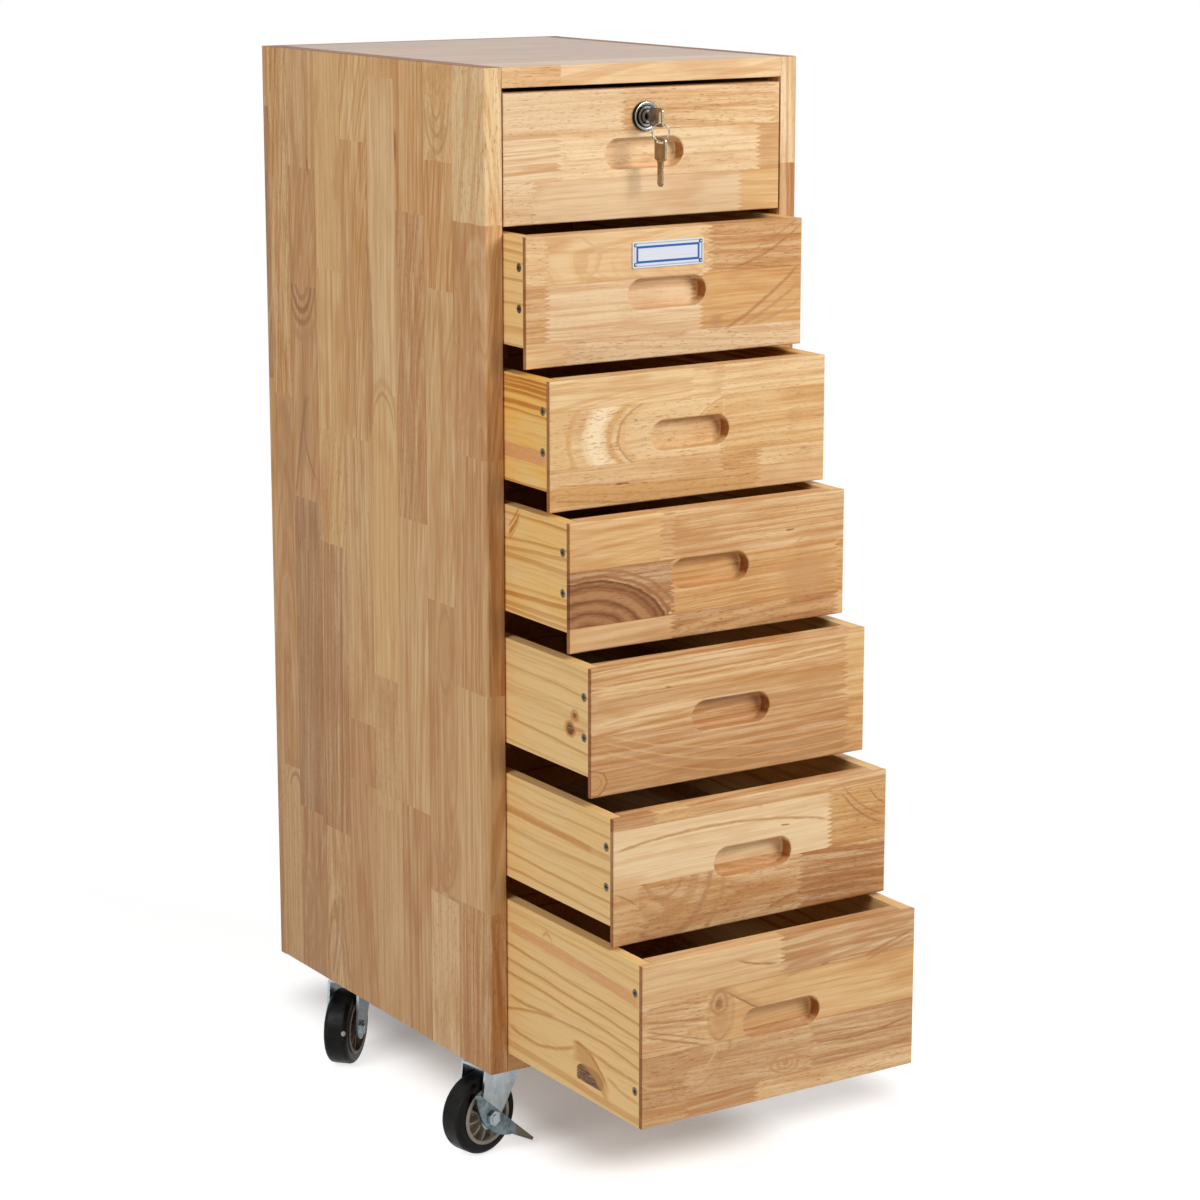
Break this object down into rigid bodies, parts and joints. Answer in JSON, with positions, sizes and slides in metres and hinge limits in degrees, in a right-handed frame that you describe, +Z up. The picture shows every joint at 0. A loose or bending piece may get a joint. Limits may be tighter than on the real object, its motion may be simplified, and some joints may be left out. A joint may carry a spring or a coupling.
{
  "type": "rolling drawer cabinet",
  "caption": "Tall narrow wooden drawer cabinet on swivel casters, with recessed finger pulls, a cam lock with keys in its top drawer and foot brakes on the front wheels.",
  "frame": {"origin": "on the floor, at the centre of the bounding box of the cabinet as it stands with its drawers stepped open", "axes": "+X to the right seen from the front, +Y to the back, +Z up"},
  "size_m": [0.3676, 0.6378, 1.011],
  "materials": {
    "rubberwood_side": "satin varnish",
    "rubberwood_front": "satin varnish",
    "rubberwood_top": "satin varnish",
    "pine": "satin varnish",
    "plywood": "sanded",
    "zinc_plated_steel": "zinc plated",
    "screw_steel": "yellow zinc plated",
    "lock_chrome": "polished",
    "key_nickel": "nickel plated",
    "plate_metal": "satin",
    "hub_plastic": "moulded",
    "tyre_rubber": "matt"
  },
  "bodies": {
    "cabinet": {"side_panel_left": "rubberwood_side", "side_panel_right": "rubberwood_side", "top_panel": "rubberwood_top", "bottom_panel": "rubberwood_side", "back_panel": "rubberwood_side", "drawer_runners": "rubberwood_side", "carcass_screws": "screw_steel", "carcass_dowels": "pine", "caster_plates": "zinc_plated_steel", "caster_screws": "zinc_plated_steel"},
    "drawer_1": {"drawer_1_front": "rubberwood_front", "drawer_1_box": "pine", "drawer_1_bottom": "plywood", "drawer_1_screws": "screw_steel", "lock_housing": "lock_chrome", "lock_nut": "zinc_plated_steel"},
    "drawer_2": {"drawer_2_front": "rubberwood_front", "drawer_2_box": "pine", "drawer_2_bottom": "plywood", "drawer_2_screws": "screw_steel", "front_plate": "plate_metal"},
    "drawer_3": {"drawer_3_front": "rubberwood_front", "drawer_3_box": "pine", "drawer_3_bottom": "plywood", "drawer_3_screws": "screw_steel"},
    "drawer_4": {"drawer_4_front": "rubberwood_front", "drawer_4_box": "pine", "drawer_4_bottom": "plywood", "drawer_4_screws": "screw_steel"},
    "drawer_5": {"drawer_5_front": "rubberwood_front", "drawer_5_box": "pine", "drawer_5_bottom": "plywood", "drawer_5_screws": "screw_steel"},
    "drawer_6": {"drawer_6_front": "rubberwood_front", "drawer_6_box": "pine", "drawer_6_bottom": "plywood", "drawer_6_screws": "screw_steel"},
    "drawer_7": {"drawer_7_front": "rubberwood_front", "drawer_7_box": "pine", "drawer_7_bottom": "plywood", "drawer_7_screws": "screw_steel"},
    "lock": {"lock_plug": "lock_chrome", "lock_cam": "zinc_plated_steel"},
    "key": {"key": "key_nickel"},
    "key_ring": {"key_ring": "lock_chrome"},
    "spare_key": {"spare_key": "key_nickel"},
    "swivel_front_left": {"fork_front_left": "zinc_plated_steel"},
    "wheel_front_left": {"hub_front_left": "hub_plastic", "tyre_front_left": "tyre_rubber"},
    "brake_front_left": {"brake_lever_front_left": "zinc_plated_steel"},
    "swivel_front_right": {"fork_front_right": "zinc_plated_steel"},
    "wheel_front_right": {"hub_front_right": "hub_plastic", "tyre_front_right": "tyre_rubber"},
    "brake_front_right": {"brake_lever_front_right": "zinc_plated_steel"},
    "swivel_rear_left": {"fork_rear_left": "zinc_plated_steel"},
    "wheel_rear_left": {"hub_rear_left": "hub_plastic", "tyre_rear_left": "tyre_rubber"},
    "swivel_rear_right": {"fork_rear_right": "zinc_plated_steel"},
    "wheel_rear_right": {"hub_rear_right": "hub_plastic", "tyre_rear_right": "tyre_rubber"}
  },
  "joints": [
    {"name": "drawer_1_slide", "type": "slide", "parent": "cabinet", "child": "drawer_1", "axis": [0, -1, 0], "range_m": [0, 0.3]},
    {"name": "drawer_2_slide", "type": "slide", "parent": "cabinet", "child": "drawer_2", "axis": [0, -1, 0], "range_m": [-0.0368, 0.2632]},
    {"name": "drawer_3_slide", "type": "slide", "parent": "cabinet", "child": "drawer_3", "axis": [0, -1, 0], "range_m": [-0.0747, 0.2253]},
    {"name": "drawer_4_slide", "type": "slide", "parent": "cabinet", "child": "drawer_4", "axis": [0, -1, 0], "range_m": [-0.1068, 0.1932]},
    {"name": "drawer_5_slide", "type": "slide", "parent": "cabinet", "child": "drawer_5", "axis": [0, -1, 0], "range_m": [-0.1406, 0.1594]},
    {"name": "drawer_6_slide", "type": "slide", "parent": "cabinet", "child": "drawer_6", "axis": [0, -1, 0], "range_m": [-0.176, 0.124]},
    {"name": "drawer_7_slide", "type": "slide", "parent": "cabinet", "child": "drawer_7", "axis": [0, -1, 0], "range_m": [-0.2215, 0.0785]},
    {"name": "lock_turn", "type": "hinge", "parent": "drawer_1", "child": "lock", "pos_m": [0, -0.09745, 0.9635], "axis": [0, -1, 0], "range_deg": [0, 90]},
    {"name": "key_withdraw", "type": "slide", "parent": "lock", "child": "key", "axis": [0, -1, 0], "range_m": [0, 0.024]},
    {"name": "key_ring_swing", "type": "hinge", "parent": "key", "child": "key_ring", "pos_m": [0, -0.12255, 0.95845], "axis": [0.9063, -0.4226, 0], "range_deg": [-35, 12]},
    {"name": "spare_key_swing", "type": "hinge", "parent": "key_ring", "child": "spare_key", "pos_m": [0, -0.12255, 0.94325], "axis": [0.9063, -0.4226, 0], "range_deg": [-35, 12]},
    {"name": "front_left_swivel", "type": "hinge", "parent": "cabinet", "child": "swivel_front_left", "pos_m": [-0.1173, -0.03195, 0.097], "axis": [0, 0, 1], "continuous": true},
    {"name": "front_left_roll", "type": "hinge", "parent": "swivel_front_left", "child": "wheel_front_left", "pos_m": [-0.14553, -0.03857, 0.0375], "axis": [-0.2284, 0.9736, 0], "continuous": true},
    {"name": "front_left_brake", "type": "hinge", "parent": "swivel_front_left", "child": "brake_front_left", "pos_m": [-0.14553, -0.03857, 0.0375], "axis": [0.2284, -0.9736, 0], "range_deg": [0, 25]},
    {"name": "front_right_swivel", "type": "hinge", "parent": "cabinet", "child": "swivel_front_right", "pos_m": [0.1173, -0.03195, 0.097], "axis": [0, 0, 1], "continuous": true},
    {"name": "front_right_roll", "type": "hinge", "parent": "swivel_front_right", "child": "wheel_front_right", "pos_m": [0.14553, -0.03857, 0.0375], "axis": [-0.2284, -0.9736, 0], "continuous": true},
    {"name": "front_right_brake", "type": "hinge", "parent": "swivel_front_right", "child": "brake_front_right", "pos_m": [0.14553, -0.03857, 0.0375], "axis": [0.2284, 0.9736, 0], "range_deg": [0, 25]},
    {"name": "rear_left_swivel", "type": "hinge", "parent": "cabinet", "child": "swivel_rear_left", "pos_m": [-0.1173, 0.25345, 0.097], "axis": [0, 0, 1], "continuous": true},
    {"name": "rear_left_roll", "type": "hinge", "parent": "swivel_rear_left", "child": "wheel_rear_left", "pos_m": [-0.13854, 0.23371, 0.0375], "axis": [-0.6807, 0.7325, 0], "continuous": true},
    {"name": "rear_right_swivel", "type": "hinge", "parent": "cabinet", "child": "swivel_rear_right", "pos_m": [0.1173, 0.25345, 0.097], "axis": [0, 0, 1], "continuous": true},
    {"name": "rear_right_roll", "type": "hinge", "parent": "swivel_rear_right", "child": "wheel_rear_right", "pos_m": [0.13854, 0.23371, 0.0375], "axis": [-0.6807, -0.7325, 0], "continuous": true}
  ]
}
